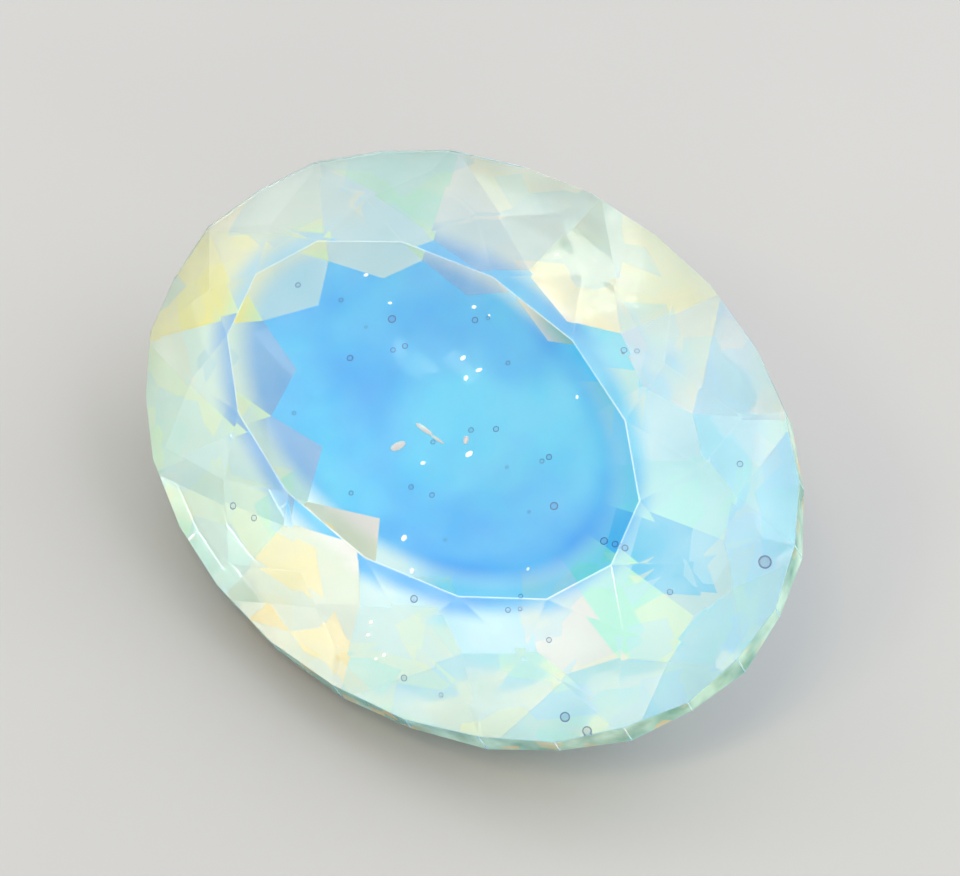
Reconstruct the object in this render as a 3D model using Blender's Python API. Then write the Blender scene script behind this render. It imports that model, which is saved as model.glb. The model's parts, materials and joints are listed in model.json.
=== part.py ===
"""Oval cut opal: one faceted stone, lying on a pavilion facet with its table up.

Metres, +Z up, origin under the middle of the stone on the surface it lies on.
The stone is cut in its own axes, X along its length, Y across, Z out of the
table, with the upper edge of the girdle at Z = 0. It is then laid down.
"""

import math

import bmesh
import bpy
from mathutils import Matrix, Vector

MM = 0.001

# Outline of the girdle
HALF_LENGTH = 6.9 * MM
HALF_WIDTH = 5.0 * MM
FOLD = 14                      # index positions round the stone
GIRDLE_SIDES = 2 * FOLD
GIRDLE_HEIGHT = 0.60 * MM

# Crown: each ring lies at an even inset from the girdle outline
TABLE_INSET = 2.29 * MM
TABLE_HEIGHT = 1.15 * MM
STAR_INSET = 1.36 * MM         # ring of points where star, main and break facets meet
STAR_HEIGHT = 0.76 * MM
TABLE_SHIFT = Vector((-0.12, -0.30, 0.0)) * MM   # the table was ground a little off centre
STAR_SHIFT = 0.6 * TABLE_SHIFT

# Pavilion, measured from the lower edge of the girdle
CULET_DEPTH = 3.47 * MM
END_TIP_INSET = 2.25 * MM      # lower tips of the middle tier, at the two ends
END_TIP_DEPTH = 1.45 * MM
SIDE_TIP_INSET = 2.75 * MM     # and at the two sides
SIDE_TIP_DEPTH = 2.22 * MM
TIP_SHIFT = Vector((0.10, 0.30, 0.0)) * MM       # the pavilion is a little off centre too
CULET_SHIFT = Vector((-0.11, 0.26, 0.0)) * MM

# How the stone lies
REST_STEP = -3.5               # the lower facet it lies on, in steps from the long axis

CUT_TOLERANCE = 1e-6


def ring_point(step, inset, height, shift=Vector((0.0, 0.0, 0.0))):
    """The point at an index position, inset from the girdle outline."""
    angle = 2.0 * math.pi * step / FOLD
    return shift + Vector((
        (HALF_LENGTH - inset) * math.cos(angle),
        (HALF_WIDTH - inset) * math.sin(angle),
        height,
    ))


def plane_through(a, b, c):
    """A point and the normal of the plane through three points, facing away from the axis."""
    normal = (b - a).cross(c - a).normalized()
    inside = Vector((0.0, 0.0, -0.5 * GIRDLE_HEIGHT))
    if normal.dot(a - inside) < 0.0:
        normal.negate()
    return a.copy(), normal


def meet(first, second, third):
    """The point where three planes meet."""
    rows = Matrix((first[1], second[1], third[1]))
    return rows.inverted() @ Vector([p[0].dot(p[1]) for p in (first, second, third)])


def crown_planes():
    """Break, main, star and table planes, in the order they are ground."""
    def corner(k):
        return ring_point(k, 0.0, 0.0)

    def star_tip(k):
        return ring_point(k + 0.5, STAR_INSET, STAR_HEIGHT, STAR_SHIFT)

    def table_corner(k):
        return ring_point(k, TABLE_INSET, TABLE_HEIGHT, TABLE_SHIFT)

    steps = range(FOLD)
    breaks = [plane_through(corner(k), corner(k + 1), star_tip(k)) for k in steps]
    mains = [plane_through(table_corner(k), star_tip(k - 1), star_tip(k)) for k in steps]
    stars = [plane_through(table_corner(k), table_corner(k + 1), star_tip(k)) for k in steps]
    table = [(table_corner(0), Vector((0.0, 0.0, 1.0)))]
    return breaks + mains + stars + table


def pavilion_planes():
    """Upper, middle and lower tiers of the pavilion; the tiers stand half a step apart."""
    edge = -GIRDLE_HEIGHT
    culet = Vector((0.0, 0.0, edge - CULET_DEPTH)) + CULET_SHIFT

    def corner(k):
        return ring_point(k, 0.0, edge)

    def middle_tip(k):
        side = math.sin(2.0 * math.pi * k / FOLD) ** 2
        inset = END_TIP_INSET + side * (SIDE_TIP_INSET - END_TIP_INSET)
        depth = END_TIP_DEPTH + side * (SIDE_TIP_DEPTH - END_TIP_DEPTH)
        return ring_point(k, inset, edge - depth, TIP_SHIFT)

    steps = range(FOLD)
    lower = [plane_through(culet, middle_tip(k), middle_tip(k + 1)) for k in steps]
    middle = []
    for k in steps:
        along = corner(k + 1) - corner(k - 1)
        middle.append(plane_through(corner(k), corner(k) + along, middle_tip(k)))
    upper = []
    for k in steps:
        point = meet(middle[k], middle[(k + 1) % FOLD], lower[k])
        upper.append(plane_through(corner(k), corner(k + 1), point))
    return upper, middle, lower


def preform():
    """An oval cylinder with flat sides, tall enough to hold the whole stone."""
    top = TABLE_HEIGHT + 0.5 * MM
    bottom = -GIRDLE_HEIGHT - CULET_DEPTH - 0.5 * MM
    bm = bmesh.new()
    bmesh.ops.create_cone(
        bm, cap_ends=True, segments=GIRDLE_SIDES, radius1=1.0, radius2=1.0, depth=top - bottom
    )
    first = next(v.co for v in bm.verts)
    start = math.atan2(first.y, first.x)
    bmesh.ops.rotate(bm, verts=bm.verts, cent=(0, 0, 0), matrix=Matrix.Rotation(-start, 3, "Z"))
    bmesh.ops.scale(bm, verts=bm.verts, vec=(HALF_LENGTH, HALF_WIDTH, 1.0))
    bmesh.ops.translate(bm, verts=bm.verts, vec=(0.0, 0.0, 0.5 * (top + bottom)))
    return bm


def grind(bm, plane):
    """Takes off all that lies outside a plane and closes the flat that is left."""
    point, normal = plane
    bmesh.ops.bisect_plane(
        bm, geom=bm.verts[:] + bm.edges[:] + bm.faces[:], dist=CUT_TOLERANCE,
        plane_co=point, plane_no=normal, clear_outer=True,
    )
    rim = [e for e in bm.edges if e.is_boundary]
    if rim:
        bmesh.ops.holes_fill(bm, edges=rim, sides=0)


def lay_down(stone, rest_plane):
    """Turns the stone so that the given facet is its underside, on Z = 0."""
    up = -rest_plane[1]
    table = Vector((0.0, 0.0, 1.0))
    back = (up * table.dot(up) - table).normalized()       # the table leans towards -Y
    basis = Matrix((back.cross(up), back, up)).to_4x4()
    places = [basis @ v.co for v in stone.data.vertices]
    low = Vector([min(p[i] for p in places) for i in range(3)])
    high = Vector([max(p[i] for p in places) for i in range(3)])
    shift = Vector((-0.5 * (low.x + high.x), -0.5 * (low.y + high.y), -low.z))
    stone.matrix_world = Matrix.Translation(shift) @ basis


def opal_material():
    material = bpy.data.materials.new("opal")
    material.use_nodes = True
    shader = material.node_tree.nodes["Principled BSDF"]
    shader.inputs["Base Color"].default_value = (0.36, 0.72, 0.85, 1.0)
    shader.inputs["Roughness"].default_value = 0.04
    shader.inputs["Metallic"].default_value = 0.0
    shader.inputs["IOR"].default_value = 1.45
    return material


def main():
    for thing in list(bpy.data.objects):
        bpy.data.objects.remove(thing, do_unlink=True)

    bm = preform()
    upper, middle, lower = pavilion_planes()
    for plane in crown_planes() + upper + middle + lower:
        grind(bm, plane)
    bmesh.ops.recalc_face_normals(bm, faces=bm.faces)

    mesh = bpy.data.meshes.new("cut_opal")
    bm.to_mesh(mesh)
    bm.free()
    mesh.materials.append(opal_material())

    collection = bpy.data.collections.new("oval_cut_opal")
    bpy.context.scene.collection.children.link(collection)
    stone = bpy.data.objects.new("cut_opal", mesh)
    collection.objects.link(stone)
    lay_down(stone, lower[math.floor(REST_STEP) % FOLD])


main()
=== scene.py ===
"""Oval cut opal: milky blue faceted stone with small bubbles, lying on a pale studio floor."""

import json
import math

import bmesh
import bpy
from mathutils import Matrix, Vector
from mathutils.bvhtree import BVHTree


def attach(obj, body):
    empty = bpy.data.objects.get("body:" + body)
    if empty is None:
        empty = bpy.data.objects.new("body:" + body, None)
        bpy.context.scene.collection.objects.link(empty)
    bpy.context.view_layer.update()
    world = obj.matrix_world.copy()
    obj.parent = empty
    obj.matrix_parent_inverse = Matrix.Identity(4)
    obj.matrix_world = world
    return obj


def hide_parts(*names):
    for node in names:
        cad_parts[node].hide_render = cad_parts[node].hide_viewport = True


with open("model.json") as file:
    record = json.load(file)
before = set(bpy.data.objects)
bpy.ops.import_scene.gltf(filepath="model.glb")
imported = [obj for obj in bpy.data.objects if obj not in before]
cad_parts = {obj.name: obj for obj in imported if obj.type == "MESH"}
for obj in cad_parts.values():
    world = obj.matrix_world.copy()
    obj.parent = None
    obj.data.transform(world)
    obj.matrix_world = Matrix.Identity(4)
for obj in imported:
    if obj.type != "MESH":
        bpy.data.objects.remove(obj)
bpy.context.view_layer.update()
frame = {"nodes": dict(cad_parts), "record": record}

MM = 0.001
NODE = "cut_opal"

# The stone's own axes: X along its length, Y across, Z out of the table
MOUNTS = {m["name"]: m for m in frame["record"]["mounts"]}
TABLE_OUT = Vector(MOUNTS["table"]["axis"]).normalized()
LENGTHWAYS = Vector((1.0, 0.0, 0.0))
ACROSS = TABLE_OUT.cross(LENGTHWAYS)
STONE_AXES = Matrix((LENGTHWAYS, ACROSS, TABLE_OUT)).transposed()
END_TOLERANCE = 1e-6                # corners this near the stone's ends lie on them

# The photograph's view of the stone
FRAME_WIDTH = 960
FRAME_HEIGHT = 876
IMAGE_TURN = math.radians(32.6)     # turn of the tilt axis in the picture
TABLE_TILT = math.radians(-30.0)    # between the table and the picture plane
STONE_TURN = math.radians(-74.1)    # turn of the stone about its own axis
CAMERA_DISTANCE = 100 * MM
SENSOR_WIDTH = 36.0                 # in millimetres, as the focal length is
FOCAL_LENGTH = 212.0
NEAR_CLIP = 0.001
GIRDLE_PIXEL = (463.8, 435.4)       # where the girdle's centre shows

# The studio
FLOOR_SIZE = 2.0
FLOOR_GAP = 0.02 * MM               # between the floor and the stone on it
BACKDROP_STRENGTH = 1.5
LIGHT_DISTANCE = 0.5
WHITE_LIGHT = (1.0, 1.0, 1.0)
WARM_LIGHT = (1.0, 0.83, 0.50)
# Lights: name, azimuth and elevation in degrees, size in metres, power in watts, colour. The
# two small warm ones show in the facets that glow yellow in the photograph.
LIGHTS = (
    ("key", 53.0, 38.0, 0.60, 1.9, WHITE_LIGHT),
    ("warm_low", -82.0, 44.0, 0.085, 0.55, WARM_LIGHT),
    ("warm_high", -69.0, 58.5, 0.085, 0.55, WARM_LIGHT),
)

# The cut
FOLD = 14                           # index steps round the stone
HALF_LENGTH = 6.9 * MM
HALF_WIDTH = 5.0 * MM
(
    TIER_TABLE, TIER_CROWN, TIER_GIRDLE, TIER_UPPER,
    TIER_MIDDLE, TIER_LOWER, TIER_EDGE, TIER_RIDGE,
) = range(8)
LEVEL = 0.999                       # the table's normal rises at least this much
UPRIGHT = 0.05                      # the girdle's normals rise or fall less than this
GIRDLE_FOOT = -1.0 * MM             # the girdle's lower edge lies above this level
CULET_REACH = -4.0 * MM             # only the lower tier reaches below this level
WELD = 2e-6                         # corners nearer than this are one corner
STEP_IN = 2e-6                      # a bent line of sight starts this far under the skin
FLAT_ANGLE = math.radians(0.4)      # faces that meet flatter than this are one facet
EDGE_WEAR = 0.014 * MM
RIDGE_BAND = 0.04 * MM              # the table's own worn edge lies this near its level

# Gas bubbles: where each shows in the photograph, and its radius in mm
BUBBLES = (
    (392, 319, 0.075), (350, 358, 0.06), (393, 350, 0.05), (405, 346, 0.055), (475, 320, 0.06),
    (488, 318, 0.04), (508, 363, 0.045), (433, 442, 0.045), (496, 429, 0.055), (542, 461, 0.045),
    (549, 457, 0.055), (554, 506, 0.075), (604, 541, 0.07), (625, 548, 0.06), (411, 487, 0.05),
    (432, 495, 0.05), (414, 599, 0.07), (508, 610, 0.05), (520, 609, 0.04), (549, 640, 0.05),
    (565, 717, 0.09), (587, 731, 0.085), (740, 464, 0.06), (765, 562, 0.12), (670, 592, 0.055),
    (233, 506, 0.065), (254, 518, 0.06), (404, 678, 0.06), (441, 695, 0.045), (624, 350, 0.06),
    (637, 351, 0.05), (341, 300, 0.045), (294, 413, 0.04), (351, 493, 0.045), (298, 285, 0.05),
    (445, 540, 0.03), (507, 467, 0.03), (471, 430, 0.05), (529, 512, 0.03), (366, 327, 0.03),
)
# Bright specks, glowing with a painted glow: pixel, length and width in mm, lean in degrees
SPARKS = (
    (463, 358, 0.13, 0.09, 40.0), (479, 370, 0.14, 0.08, 20.0), (466, 378, 0.12, 0.09, 70.0),
    (469, 454, 0.17, 0.11, 35.0), (404, 538, 0.14, 0.11, 60.0), (412, 571, 0.12, 0.09, 80.0),
    (423, 463, 0.11, 0.08, 10.0), (577, 397, 0.09, 0.06, 90.0), (528, 569, 0.08, 0.06, 60.0),
    (390, 303, 0.09, 0.06, 0.0), (366, 275, 0.10, 0.07, 10.0), (489, 316, 0.08, 0.05, 90.0),
    (371, 622, 0.10, 0.07, 30.0), (384, 655, 0.09, 0.07, 50.0), (368, 635, 0.09, 0.07, 10.0),
    (558, 255, 0.10, 0.06, 0.0), (376, 659, 0.08, 0.06, 0.0), (474, 307, 0.10, 0.08, 0.0),
)
# Feathers: small soft fractures, given in the same way
FEATHERS = (
    (424, 429, 0.40, 0.09, -37.0), (437, 439, 0.34, 0.05, -37.0), (398, 446, 0.30, 0.15, 25.0),
    (466, 440, 0.16, 0.10, 80.0),
)
# How far along the line of sight they lie inside the stone, taken in turn
DEPTHS = (0.5 * MM, 1.3 * MM, 0.8 * MM, 1.7 * MM, 1.0 * MM)
THIN_SHARE = 0.45                   # of the way through, at most, where the stone is thin

GLASS_IOR = 1.45
POLISH = 0.02                       # roughness of a polished facet

# How much of the table and the crown is milky rather than clear, and how unevenly
TABLE_VEIL = 0.04
CROWN_VEIL = 0.08
VEIL_SPREAD = 0.3

# How much of each tier of the pavilion is clear, and how strongly it is streaked
UPPER_CLEAR = 0.28
UPPER_STREAK = 0.3
MIDDLE_CLEAR = 0.36
MIDDLE_STREAK = 0.25
LOWER_CLEAR = 0.05
LOWER_STREAK = 0.7
TIER_GLOSS = 0.5
LOWER_GLOSS = 0.04                  # nearly none: no lamp shows in the lower tier

# Clouding: the size of its patches in each finish
CROWN_CLOUD = 1.5 * MM
VEIL_CLOUD = 1.1 * MM
HEART_CLOUD = 2.4 * MM
RIM_CLOUD = 1.2 * MM
GIRDLE_CLOUD = 0.8 * MM
EDGE_CLOUD = 2.0 * MM
FLOOR_CLOUD = 20 * MM
BUBBLE_CLOUD = 0.3 * MM
FLECK_CLOUD = 0.2 * MM
RIM_CLOUD_STRENGTH = 0.2
CLOUD_DETAIL = 3.0
CLOUD_LOW = 0.35
CLOUD_HIGH = 0.65

# Flat patches of painted light: their size, how strongly they show and the share of the facet that
# they take
# Painted reflections: cream and pale blue patches stand for facets mirrored in facets
CREAM_REFLECTION_PATCHES = (1.2 * MM, 0.4, 0.5)
BLUE_REFLECTION_PATCHES = (0.9 * MM, 0.5, 0.5)
# Painted glints: small amber patches on the girdle where light gathers
AMBER_GLINT_PATCHES = (0.3 * MM, 0.6, 0.08)
PATCH_SOFTNESS = 0.05

# The blue heart under the table, and the blue veil round the table's own border at the end
# nearest the camera: ellipses in the stone's own axes, so tall that height doesn't count
TALL = 1.0
HEART_CENTRE = (-1.52 * MM, 0.14 * MM, 0.0)
HEART_SIZE = (4.03 * MM, 2.52 * MM, TALL)
HEART_EDGE = 0.08                   # half its soft border, as a share of the ellipse
BORDER_CENTRE = (-0.38 * MM, -0.28 * MM, 0.0)
BORDER_SIZE = (4.07 * MM, 2.39 * MM, TALL)
BORDER_EDGE = 0.14
BORDER_SIDE = (0.93, 0.37, 0.0)     # the veil is on this side of the table
BORDER_START = 0.4 * MM             # and it starts and is full this far toward it
BORDER_FULL = 1.3 * MM

# Bubbles and specks
# Painted shade: a bubble's dark blue rim and fill stand for the dark ring it shows by refraction
LIMB_START = 0.22                   # the bubble's dark rim, from 0 face on to 1 edge on
LIMB_FULL = 0.50
BUBBLE_SHADE = 2.0 / MM             # how densely a bubble takes up light
BUBBLE_DETAIL = 3
SPARK_DETAIL = 1
FEATHER_DETAIL = 2
# Painted glow: the specks' emission stands for lamp light they catch
SPARK_PAINTED_GLOW = 0.3

DISPLAY_GAMMA = 2.2
CHANNEL_MAX = 255.0

# The colour sockets of a mix node
MIX_FACTOR, MIX_FIRST, MIX_SECOND = 0, 6, 7
MIX_RESULT = 2


def stone_frame():
    """The matrix from the stone's own axes, with the girdle's centre as origin, to the world."""
    mesh = frame["nodes"][NODE].data
    inverse = STONE_AXES.transposed()
    places = [inverse @ v.co for v in mesh.vertices]
    low = Vector([min(p[i] for p in places) for i in range(3)])
    high = Vector([max(p[i] for p in places) for i in range(3)])
    middle = 0.5 * (low.x + high.x)
    half_length = 0.5 * (high.x - low.x)
    ends = [p for p in places if abs(abs(p.x - middle) - half_length) < END_TOLERANCE]
    girdle_top = max(p.z for p in ends)
    centre = Vector((middle, 0.5 * (low.y + high.y), girdle_top))
    return Matrix.Translation(STONE_AXES @ centre) @ STONE_AXES.to_4x4()


STONE = stone_frame()
TO_STONE = STONE.inverted()


def srgb(red, green, blue):
    """A colour given in ordinary 0 to 255 values, as the shader wants it."""
    return tuple((c / CHANNEL_MAX) ** DISPLAY_GAMMA for c in (red, green, blue)) + (1.0,)


# The colours that play in the stone
AZURE = srgb(50, 162, 240)
CYAN = srgb(96, 216, 246)
WHITE = srgb(252, 254, 255)
PALE_BLUE = srgb(184, 226, 242)
MINT = srgb(168, 234, 214)
GREEN_WHITE = srgb(204, 244, 196)
CREAM = srgb(248, 236, 196)
# Painted warm glow: yellow, butter, gold and honey stand for lamp light glowing through the stone
YELLOW_GLOW = srgb(255, 240, 120)
BUTTER_GLOW = srgb(255, 248, 176)
GOLD_GLOW = srgb(255, 224, 96)
HONEY_GLOW = srgb(255, 210, 78)
# Painted glint colour, for the girdle's amber patches
AMBER_GLINT = srgb(244, 176, 92)
AQUA = srgb(158, 230, 232)
LAGOON = srgb(66, 192, 236)
# Painted warm glow, as the yellow tints above
APRICOT_GLOW = srgb(255, 234, 182)
PEARL = srgb(228, 224, 220)
PETAL = srgb(252, 240, 222)
MIST = srgb(236, 240, 240)
FOAM = srgb(226, 250, 232)
SKY = srgb(158, 216, 242)
BORDER_BLUE = srgb(84, 188, 248)
# Painted pale warm glow, for the brightest facets seen through the table
BLUSH_GLOW = srgb(255, 240, 236)
ICE = srgb(240, 250, 252)

# Colours of the girdle, the inclusions and the floor
GIRDLE_DARK = srgb(104, 150, 130)
GIRDLE_PALE = srgb(188, 216, 192)
# Painted shade of the bubbles: their dark blue rim and fill
BUBBLE_RIM_SHADE = srgb(30, 86, 168)
BUBBLE_SHADE_BLUE = srgb(30, 100, 170)
SPARK_CREAM = srgb(255, 238, 222)
FEATHER_ROSE = srgb(255, 222, 218)
FLOOR_GREY = srgb(152, 153, 155)
FLOOR_DARKER = srgb(148, 149, 151)

# Tints of the facets by their step round the stone, clockwise from the end nearest the
# camera: the rim is what shows through the crown, the heart what shows through the table
# The yellow, honey, gold, butter, apricot and blush steps are painted warm glow, which the two warm
# lamps add real light to
UPPER_RIM = (
    MINT, GREEN_WHITE, GREEN_WHITE, HONEY_GLOW, GREEN_WHITE, GREEN_WHITE, YELLOW_GLOW,
    CREAM, MINT, PETAL, APRICOT_GLOW, PEARL, AQUA, MINT,
)
MIDDLE_RIM = (
    MINT, MINT, GREEN_WHITE, MINT, GOLD_GLOW, MINT, FOAM,
    BUTTER_GLOW, PALE_BLUE, MIST, APRICOT_GLOW, PEARL, MINT, AQUA,
)
MIDDLE_HEART = (
    CYAN, CYAN, CYAN, GREEN_WHITE, BLUSH_GLOW, AZURE, AZURE,
    SKY, PALE_BLUE, AZURE, BLUSH_GLOW, CYAN, CYAN, CYAN,
)
LOWER_RIM = (
    MINT, PEARL, PALE_BLUE, PALE_BLUE, ICE, CYAN, CYAN,
    CYAN, AZURE, PALE_BLUE, CYAN, PALE_BLUE, AQUA, LAGOON,
)


def mix_colours(tree, first, second, factor, socket=None):
    """Mixes two colours, each a value or another node's output, and may link them to a socket."""
    mix = tree.nodes.new("ShaderNodeMix")
    mix.data_type = "RGBA"
    for slot, colour in ((MIX_FIRST, first), (MIX_SECOND, second)):
        if isinstance(colour, tuple):
            mix.inputs[slot].default_value = colour
        else:
            tree.links.new(colour, mix.inputs[slot])
    tree.links.new(factor, mix.inputs[MIX_FACTOR])
    mixed = mix.outputs[MIX_RESULT]
    if socket is not None:
        tree.links.new(mixed, socket)
    return mixed


def stone_place(tree):
    """Where a point lies in the stone's own axes."""
    place = tree.nodes.new("ShaderNodeTexCoord")
    turned = tree.nodes.new("ShaderNodeMapping")
    turned.vector_type = "TEXTURE"
    turned.inputs["Location"].default_value = STONE.translation
    turned.inputs["Rotation"].default_value = STONE.to_euler()
    tree.links.new(place.outputs["Object"], turned.inputs["Vector"])
    return turned.outputs["Vector"]


def cloud(tree, size, low=0.0, high=1.0):
    """Soft clouding in the stone's own axes: patches of the given size, as a factor."""
    noise = tree.nodes.new("ShaderNodeTexNoise")
    noise.inputs["Scale"].default_value = 1.0 / size
    noise.inputs["Detail"].default_value = CLOUD_DETAIL
    ramp = tree.nodes.new("ShaderNodeMapRange")
    ramp.inputs["From Min"].default_value = CLOUD_LOW
    ramp.inputs["From Max"].default_value = CLOUD_HIGH
    ramp.inputs["To Min"].default_value = low
    ramp.inputs["To Max"].default_value = high
    tree.links.new(stone_place(tree), noise.inputs["Vector"])
    tree.links.new(noise.outputs["Fac"], ramp.inputs["Value"])
    return ramp.outputs["Result"]


def patches(tree, size, strength, share):
    """Small flat patches with straight borders: painted reflections, as where facets are mirrored in
    facets, and painted glints.
    """
    cells = tree.nodes.new("ShaderNodeTexVoronoi")
    cells.inputs["Scale"].default_value = 1.0 / size
    split = tree.nodes.new("ShaderNodeSeparateColor")
    ramp = tree.nodes.new("ShaderNodeMapRange")
    ramp.inputs["From Min"].default_value = 1.0 - share - PATCH_SOFTNESS
    ramp.inputs["From Max"].default_value = 1.0 - share + PATCH_SOFTNESS
    ramp.inputs["To Max"].default_value = strength
    tree.links.new(stone_place(tree), cells.inputs["Vector"])
    tree.links.new(cells.outputs["Color"], split.inputs["Color"])
    tree.links.new(split.outputs["Red"], ramp.inputs["Value"])
    return ramp.outputs["Result"]


def soft_step(tree, value, start, full):
    """Rises smoothly from 0 where the value is at start to 1 where it is at full."""
    ramp = tree.nodes.new("ShaderNodeMapRange")
    ramp.interpolation_type = "SMOOTHSTEP"
    ramp.inputs["From Min"].default_value = start
    ramp.inputs["From Max"].default_value = full
    tree.links.new(value, ramp.inputs["Value"])
    return ramp.outputs["Result"]


def outside(tree, centre, size, edge):
    """0 inside an upright ellipse in the stone's own axes, 1 outside it."""
    mapping = tree.nodes.new("ShaderNodeMapping")
    mapping.vector_type = "TEXTURE"
    mapping.inputs["Location"].default_value = centre
    mapping.inputs["Scale"].default_value = size
    reach = tree.nodes.new("ShaderNodeVectorMath")
    reach.operation = "LENGTH"
    tree.links.new(stone_place(tree), mapping.inputs["Vector"])
    tree.links.new(mapping.outputs["Vector"], reach.inputs[0])
    return soft_step(tree, reach.outputs["Value"], 1.0 - edge, 1.0 + edge)


def near_end(tree):
    """0 over most of the table, rising to 1 toward the end where its border is veiled."""
    reach = tree.nodes.new("ShaderNodeVectorMath")
    reach.operation = "DOT_PRODUCT"
    reach.inputs[1].default_value = BORDER_SIDE
    tree.links.new(stone_place(tree), reach.inputs[0])
    return soft_step(tree, reach.outputs["Value"], BORDER_START, BORDER_FULL)


def tint(tree, layer):
    """The facet's own tint, kept on the mesh in the rim or the heart layer."""
    node = tree.nodes.new("ShaderNodeVertexColor")
    node.layer_name = layer
    return node.outputs["Color"]


def principled(name, roughness=POLISH, clear=0.0, ior=GLASS_IOR):
    """A material with one Principled shader: its name, gloss and clearness."""
    material = bpy.data.materials.new(name)
    material.use_nodes = True
    tree = material.node_tree
    shader = tree.nodes["Principled BSDF"]
    shader.inputs["Roughness"].default_value = roughness
    shader.inputs["Transmission Weight"].default_value = clear
    shader.inputs["IOR"].default_value = ior
    return material, tree, shader


def crown_material(name, veil):
    """Clear polished glass with a thin milky veil of the facet's own tint."""
    material, tree, shader = principled(name)
    mix_colours(tree, tint(tree, "rim"), WHITE, cloud(tree, CROWN_CLOUD), shader.inputs["Base Color"])
    clearness = cloud(
        tree, VEIL_CLOUD, low=1.0 - (1.0 + VEIL_SPREAD) * veil, high=1.0 - (1.0 - VEIL_SPREAD) * veil
    )
    tree.links.new(clearness, shader.inputs["Transmission Weight"])
    return material


def table_material():
    """The crown's clear glass, bluer along the border at the end nearest the camera."""
    material = crown_material("opal_table", TABLE_VEIL)
    tree = material.node_tree
    socket = tree.nodes["Principled BSDF"].inputs["Base Color"]
    clear = socket.links[0].from_socket
    both = tree.nodes.new("ShaderNodeMath")
    both.operation = "MULTIPLY"
    tree.links.new(outside(tree, BORDER_CENTRE, BORDER_SIZE, BORDER_EDGE), both.inputs[0])
    tree.links.new(near_end(tree), both.inputs[1])
    mix_colours(tree, clear, BORDER_BLUE, both.outputs["Value"], socket)
    return material


def pavilion_material(name, clear, streak, amount, gloss=TIER_GLOSS):
    """Milky opal under a polished facet; it is seen from inside, through the crown."""
    material, tree, shader = principled(name, clear=clear)
    shader.inputs["Specular IOR Level"].default_value = gloss
    heart = mix_colours(tree, tint(tree, "heart"), streak, cloud(tree, HEART_CLOUD, high=amount))
    rim = mix_colours(tree, tint(tree, "rim"), ICE, cloud(tree, RIM_CLOUD, high=RIM_CLOUD_STRENGTH))
    # Painted reflections: cream and pale blue patches of facets mirrored in facets
    rim = mix_colours(tree, rim, CREAM, patches(tree, *CREAM_REFLECTION_PATCHES))
    rim = mix_colours(tree, rim, PALE_BLUE, patches(tree, *BLUE_REFLECTION_PATCHES))
    border = outside(tree, HEART_CENTRE, HEART_SIZE, HEART_EDGE)
    mix_colours(tree, heart, rim, border, shader.inputs["Base Color"])
    return material


def girdle_material():
    """The finely ground girdle: duller and greener, with painted amber glints where light gathers."""
    material, tree, shader = principled("opal_girdle", roughness=0.25, clear=0.35)
    band = mix_colours(tree, GIRDLE_DARK, GIRDLE_PALE, cloud(tree, GIRDLE_CLOUD))
    # Painted glints: amber patches over the band
    mix_colours(tree, band, AMBER_GLINT, patches(tree, *AMBER_GLINT_PATCHES), shader.inputs["Base Color"])
    return material


def edge_material():
    """The slightly worn edges of the crown and the girdle."""
    material, tree, shader = principled("opal_edges", roughness=0.06, clear=0.9)
    mix_colours(tree, ICE, WHITE, cloud(tree, EDGE_CLOUD), shader.inputs["Base Color"])
    return material


def ridge_material():
    """The rounded border of the table, a real worn edge made milky white as a painted highlight, so
    it shows as a thin white line.
    """
    material, tree, shader = principled("opal_ridge", roughness=0.1, clear=0.8)
    # Painted highlight: milky white along the table's border
    mix_colours(tree, WHITE, ICE, cloud(tree, EDGE_CLOUD), shader.inputs["Base Color"])
    return material


def bubble_material():
    """A gas bubble: clear in the middle, with painted shade: dark blue where it is looked through
    edge on, and a blue fill that takes up light.
    """
    material, tree, shader = principled("gas_bubble", roughness=0.0, clear=1.0, ior=1.02)
    middle = mix_colours(tree, WHITE, ICE, cloud(tree, BUBBLE_CLOUD))
    edge_on = tree.nodes.new("ShaderNodeLayerWeight")
    limb = tree.nodes.new("ShaderNodeMapRange")
    limb.inputs["From Min"].default_value = LIMB_START
    limb.inputs["From Max"].default_value = LIMB_FULL
    tree.links.new(edge_on.outputs["Facing"], limb.inputs["Value"])
    mix_colours(tree, middle, BUBBLE_RIM_SHADE, limb.outputs["Result"], shader.inputs["Base Color"])
    shade = tree.nodes.new("ShaderNodeVolumeAbsorption")
    shade.inputs["Color"].default_value = BUBBLE_SHADE_BLUE
    shade.inputs["Density"].default_value = BUBBLE_SHADE
    tree.links.new(shade.outputs["Volume"], tree.nodes["Material Output"].inputs["Volume"])
    return material


def spark_material():
    """A bright speck with a painted glow: a little emission stands in for the lamp light it catches.
    """
    material, tree, shader = principled("spark", roughness=0.15)
    mix_colours(tree, WHITE, SPARK_CREAM, cloud(tree, FLECK_CLOUD), shader.inputs["Base Color"])
    shader.inputs["Emission Color"].default_value = WHITE
    shader.inputs["Emission Strength"].default_value = SPARK_PAINTED_GLOW
    return material


def feather_material():
    """A small soft fracture, pale and rather dull."""
    material, tree, shader = principled("feather", roughness=0.4, clear=0.3, ior=1.1)
    mix_colours(tree, FEATHER_ROSE, WHITE, cloud(tree, FLECK_CLOUD), shader.inputs["Base Color"])
    return material


def floor_material():
    """A plain pale floor."""
    material, tree, shader = principled("floor", roughness=0.7)
    mix_colours(tree, FLOOR_GREY, FLOOR_DARKER, cloud(tree, FLOOR_CLOUD), shader.inputs["Base Color"])
    return material


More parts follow.
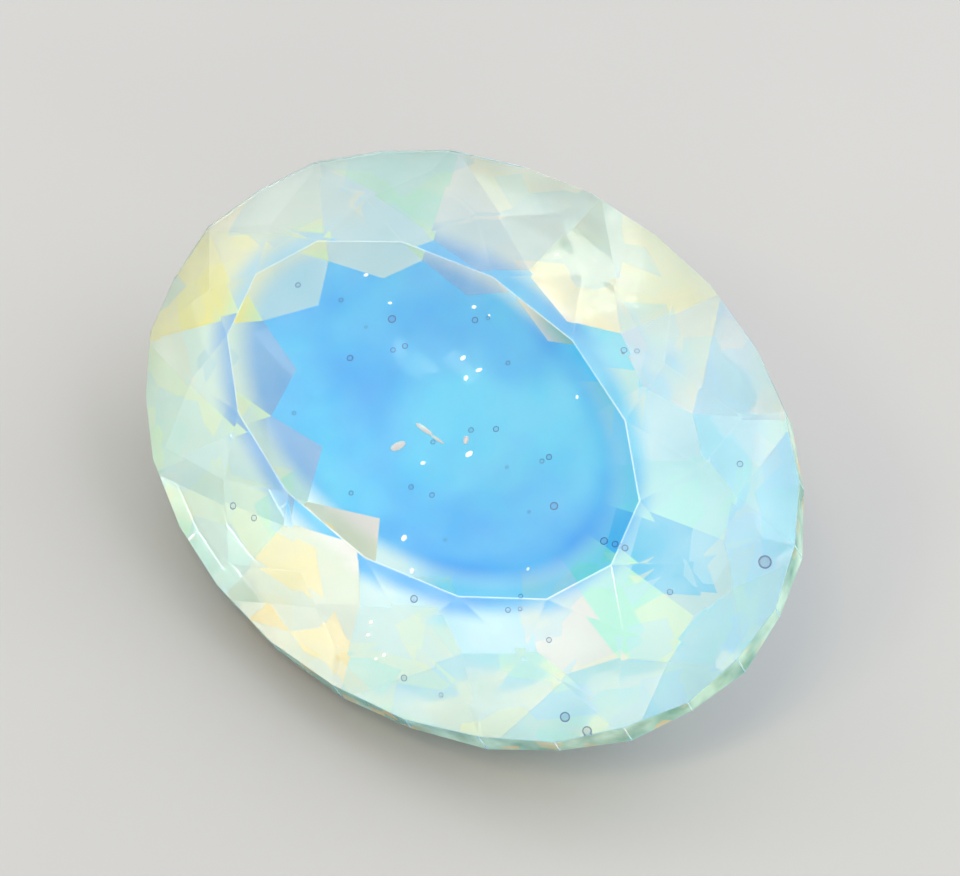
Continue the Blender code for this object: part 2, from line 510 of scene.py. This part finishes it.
def tier_of(normal, corners):
    """The tier of a facet, from its normal and corners in the stone's own axes."""
    if normal.z > LEVEL:
        return TIER_TABLE
    if normal.z > UPRIGHT:
        return TIER_CROWN
    if normal.z > -UPRIGHT:
        return TIER_GIRDLE
    heights = sorted(c.z for c in corners)
    if heights[0] < CULET_REACH:
        return TIER_LOWER
    if heights[-2] > GIRDLE_FOOT:
        return TIER_UPPER
    return TIER_MIDDLE


def step_of(centre):
    """Position round the stone in index steps, from the end nearest the camera, clockwise."""
    angle = math.atan2(centre.y / HALF_WIDTH, centre.x / HALF_LENGTH)
    return (-angle / math.tau * FOLD) % FOLD


def facet_tints(tier, centre):
    """The rim and heart tints of a facet."""
    step = step_of(centre)
    between = math.floor(step)
    nearest = round(step) % FOLD
    return {
        TIER_TABLE: (ICE, ICE),
        TIER_CROWN: (ICE, ICE),
        TIER_GIRDLE: (MINT, MINT),
        TIER_UPPER: (UPPER_RIM[between], GREEN_WHITE),
        TIER_MIDDLE: (MIDDLE_RIM[nearest], MIDDLE_HEART[nearest]),
        TIER_LOWER: (LOWER_RIM[between], AZURE),
        TIER_EDGE: (ICE, ICE),
        TIER_RIDGE: (ICE, ICE),
    }[tier]


def cut_facets():
    """The CAD solid's facets as whole polygons, in the stone's own axes."""
    bm = bmesh.new()
    bm.from_mesh(frame["nodes"][NODE].data)
    bmesh.ops.remove_doubles(bm, verts=bm.verts, dist=WELD)
    bmesh.ops.dissolve_limit(
        bm, angle_limit=FLAT_ANGLE, verts=bm.verts, edges=bm.edges, use_dissolve_boundaries=False
    )
    bm.transform(TO_STONE)
    bm.normal_update()
    return bm


def worn_facets():
    """The cut facets with their tiers as material numbers, and worn edges down to the girdle."""
    bm = cut_facets()
    for face in bm.faces:
        face.material_index = tier_of(face.normal, [v.co for v in face.verts])
    crown_edges = [
        e for e in bm.edges
        if min(f.material_index for f in e.link_faces) <= TIER_GIRDLE
    ]
    bmesh.ops.bevel(
        bm, geom=crown_edges, offset=EDGE_WEAR, segments=2, profile=0.5, affect="EDGES",
        clamp_overlap=True, material=TIER_EDGE,
    )
    table_level = max(v.co.z for v in bm.verts)
    for face in bm.faces:
        near_table = face.calc_center_median().z > table_level - RIDGE_BAND
        if face.material_index == TIER_EDGE and near_table:
            face.material_index = TIER_RIDGE
    return bm


def tint_facets(bm):
    """Gives each facet its tints, and shades only the lower tier smooth."""
    rim = bm.loops.layers.float_color.new("rim")
    heart = bm.loops.layers.float_color.new("heart")
    for face in bm.faces:
        tints = facet_tints(face.material_index, face.calc_center_median())
        for loop in face.loops:
            loop[rim], loop[heart] = tints
        face.smooth = face.material_index == TIER_LOWER
    for edge in bm.edges:
        edge.smooth = all(f.material_index == TIER_LOWER for f in edge.link_faces)


def object_from(bm, name, *materials):
    """Makes an object of a mesh in the stone's own axes, where the stone lies."""
    bm.transform(STONE)
    mesh = bpy.data.meshes.new(name)
    bm.to_mesh(mesh)
    bm.free()
    for material in materials:
        mesh.materials.append(material)
    made = bpy.data.objects.new(name, mesh)
    bpy.context.scene.collection.objects.link(made)
    return made


def build_stone():
    """The whole stone, one material to a tier, in the tiers' order."""
    bm = worn_facets()
    tint_facets(bm)
    stone = object_from(
        bm, "opal",
        table_material(),
        crown_material("opal_crown", CROWN_VEIL),
        girdle_material(),
        pavilion_material("opal_upper", UPPER_CLEAR, CREAM, UPPER_STREAK),
        pavilion_material("opal_middle", MIDDLE_CLEAR, ICE, MIDDLE_STREAK),
        pavilion_material("opal_lower", LOWER_CLEAR, CYAN, LOWER_STREAK, LOWER_GLOSS),
        edge_material(),
        ridge_material(),
    )
    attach(stone, "root")
    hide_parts(NODE)


def stone_skin():
    """The cut facets, ready for finding where a line of sight meets them."""
    facets = cut_facets()
    skin = BVHTree.FromBMesh(facets)
    facets.free()
    return skin


def inside_at(skin, pixel, depth):
    """The point inside the stone that shows at a pixel of the photograph."""
    camera = bpy.context.scene.camera
    view = TO_STONE @ camera.matrix_world
    scale = SENSOR_WIDTH / (FOCAL_LENGTH * FRAME_WIDTH)
    sight = view.to_3x3() @ Vector((
        (pixel[0] - 0.5 * FRAME_WIDTH) * scale, (0.5 * FRAME_HEIGHT - pixel[1]) * scale, -1.0
    ))
    sight.normalize()
    entry, normal, _, _ = skin.ray_cast(view.translation, sight)
    bend = 1.0 / GLASS_IOR
    facing = -sight.dot(normal)
    sight = bend * sight + (bend * facing - math.sqrt(1.0 - bend ** 2 * (1.0 - facing ** 2))) * normal
    _, _, _, reach = skin.ray_cast(entry + STEP_IN * sight, sight)
    return entry + min(depth, THIN_SHARE * reach) * sight


def add_inclusion(bm, place, turn, size, detail):
    """Adds a small rounded body: its centre, its turn and its half sizes."""
    shape = Matrix.Translation(place) @ turn @ Matrix.Diagonal((*size, 1.0))
    bmesh.ops.create_icosphere(bm, subdivisions=detail, radius=1.0, matrix=shape)


def inclusions_from(bm, name, material, smooth):
    """Makes one piece of all the inclusions of a kind."""
    for face in bm.faces:
        face.smooth = smooth
    piece = object_from(bm, name, material)
    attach(piece, "root")


def build_bubbles(skin):
    """Round gas bubbles inside the stone."""
    bm = bmesh.new()
    for count, (x, y, radius) in enumerate(BUBBLES):
        place = inside_at(skin, (x, y), DEPTHS[count % len(DEPTHS)])
        add_inclusion(bm, place, Matrix.Identity(4), (radius * MM,) * 3, BUBBLE_DETAIL)
    inclusions_from(bm, "bubbles", bubble_material(), smooth=True)


def build_flecks(skin, name, flecks, material, detail, smooth):
    """Small long bodies inside the stone, each turned to lean as it does in the photograph."""
    bm = bmesh.new()
    picture = (TO_STONE @ bpy.context.scene.camera.matrix_world).to_3x3().to_4x4()
    for count, (x, y, length, width, lean) in enumerate(flecks):
        place = inside_at(skin, (x, y), DEPTHS[count % len(DEPTHS)])
        turn = picture @ Matrix.Rotation(math.radians(lean), 4, "Z")
        size = (0.5 * length * MM, 0.5 * width * MM, 0.5 * width * MM)
        add_inclusion(bm, place, turn, size, detail)
    inclusions_from(bm, name, material, smooth)


def build_floor():
    """The pale floor, just under the stone."""
    bpy.ops.mesh.primitive_plane_add(size=FLOOR_SIZE, location=(0.0, 0.0, -FLOOR_GAP))
    floor = bpy.context.active_object
    floor.name = "studio_floor"
    floor.data.materials.append(floor_material())


def build_light():
    """An even pale studio, with one broad lamp and two small warm ones."""
    world = bpy.data.worlds.new("studio")
    bpy.context.scene.world = world
    world.use_nodes = True
    backdrop = world.node_tree.nodes["Background"]
    backdrop.inputs["Color"].default_value = (*WHITE_LIGHT, 1.0)
    backdrop.inputs["Strength"].default_value = BACKDROP_STRENGTH

    for name, azimuth, elevation, size, power, colour in LIGHTS:
        light = bpy.data.lights.new(name, "AREA")
        light.size = size
        light.energy = power
        light.color = colour
        level = math.cos(math.radians(elevation))
        place = LIGHT_DISTANCE * Vector((
            level * math.cos(math.radians(azimuth)),
            level * math.sin(math.radians(azimuth)),
            math.sin(math.radians(elevation)),
        ))
        lamp = bpy.data.objects.new(name, light)
        lamp.location = place
        lamp.rotation_euler = (-place).to_track_quat("-Z", "Y").to_euler()
        bpy.context.scene.collection.objects.link(lamp)


def build_camera():
    """The photograph's camera, placed by how the stone shows in the picture."""
    data = bpy.data.cameras.new("camera")
    data.lens = FOCAL_LENGTH
    data.sensor_width = SENSOR_WIDTH
    data.clip_start = NEAR_CLIP
    camera = bpy.data.objects.new("camera", data)
    bpy.context.scene.collection.objects.link(camera)
    stone_to_view = (
        Matrix.Rotation(IMAGE_TURN, 4, "Z")
        @ Matrix.Rotation(TABLE_TILT, 4, "X")
        @ Matrix.Rotation(STONE_TURN, 4, "Z")
    )
    metres_per_pixel = CAMERA_DISTANCE * SENSOR_WIDTH / (FOCAL_LENGTH * FRAME_WIDTH)
    aside = Vector((
        (0.5 * FRAME_WIDTH - GIRDLE_PIXEL[0]) * metres_per_pixel,
        (GIRDLE_PIXEL[1] - 0.5 * FRAME_HEIGHT) * metres_per_pixel,
        CAMERA_DISTANCE,
    ))
    camera.matrix_world = STONE @ stone_to_view.inverted() @ Matrix.Translation(aside)
    bpy.context.scene.camera = camera
    bpy.context.view_layer.update()


build_camera()
build_floor()
build_light()
build_stone()
SKIN = stone_skin()
build_bubbles(SKIN)
build_flecks(SKIN, "sparks", SPARKS, spark_material(), SPARK_DETAIL, smooth=False)
build_flecks(SKIN, "feathers", FEATHERS, feather_material(), FEATHER_DETAIL, smooth=True)

bpy.context.scene.view_settings.view_transform = "Standard"
